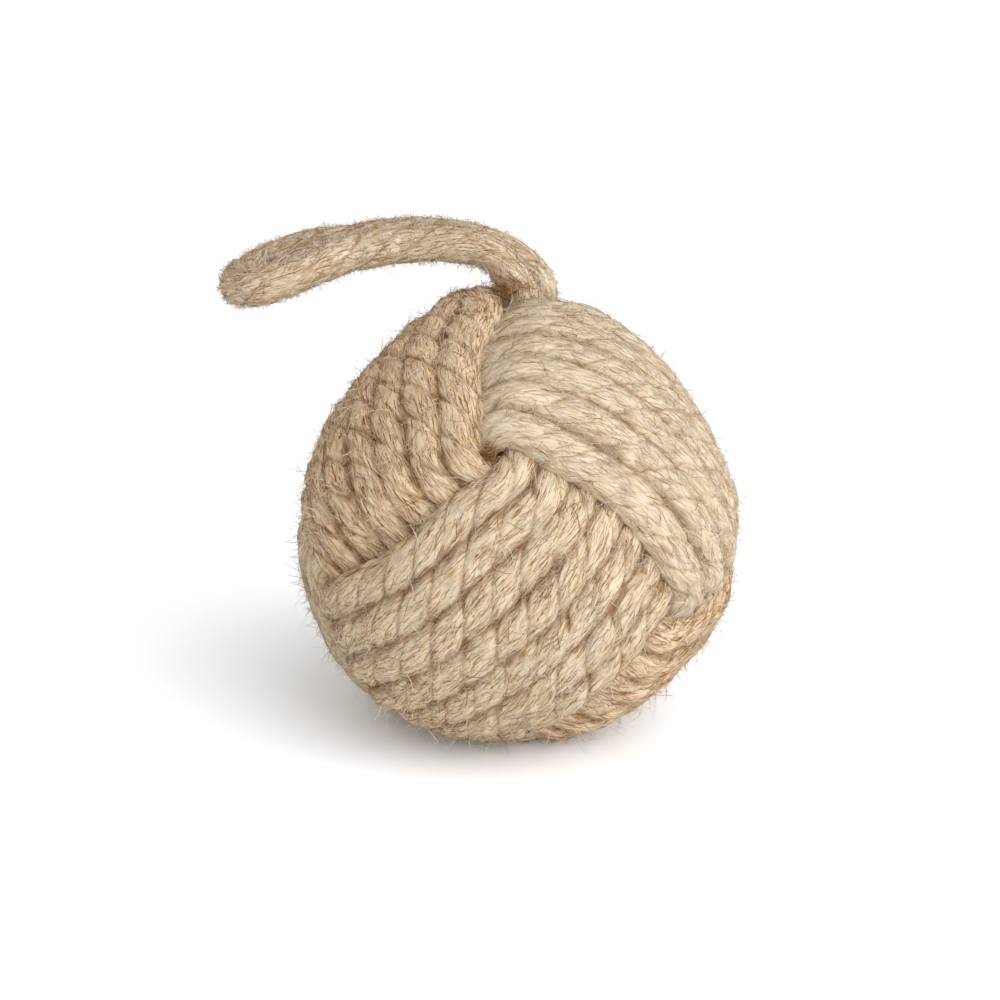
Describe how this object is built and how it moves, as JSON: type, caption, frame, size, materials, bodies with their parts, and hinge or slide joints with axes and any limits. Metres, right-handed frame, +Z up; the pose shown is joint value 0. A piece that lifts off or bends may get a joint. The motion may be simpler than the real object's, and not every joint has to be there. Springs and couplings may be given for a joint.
{
  "type": "rope knot doorstop",
  "caption": "Heavy ball of jute rope knotted round a bag of sand, standing on the floor to hold a door, with a rope loop on top to lift it by.",
  "frame": {"origin": "on the floor, in the flat of the third pass's lowest turn, which carries the ball", "axes": "+Z up, the loop lies over towards -X, and -Y faces whoever looks at the ball from the front"},
  "size_m": [0.1755, 0.1484, 0.1677],
  "materials": {
    "jute_rope": "laid jute rope, matt and hairy",
    "jute_root": "the same rope, squeezed and in shade",
    "calico": "plain woven cotton",
    "twine": "waxed twine",
    "sand": "dry sand"
  },
  "bodies": {
    "root": {"first_pass": "jute_rope", "second_pass": "jute_rope", "third_pass": "jute_rope", "handle_root": "jute_root", "sand_pouch": "calico", "pouch_tie": "twine", "sand_fill": "sand"},
    "handle": {"handle_loop": "jute_rope"}
  },
  "joints": [
    {"name": "handle_swing", "type": "hinge", "parent": "root", "child": "handle", "pos_m": [-0.01151, 0.01565, 0.14855], "axis": [0, 0.9702, -0.2422], "range_deg": [-25, 130]}
  ]
}
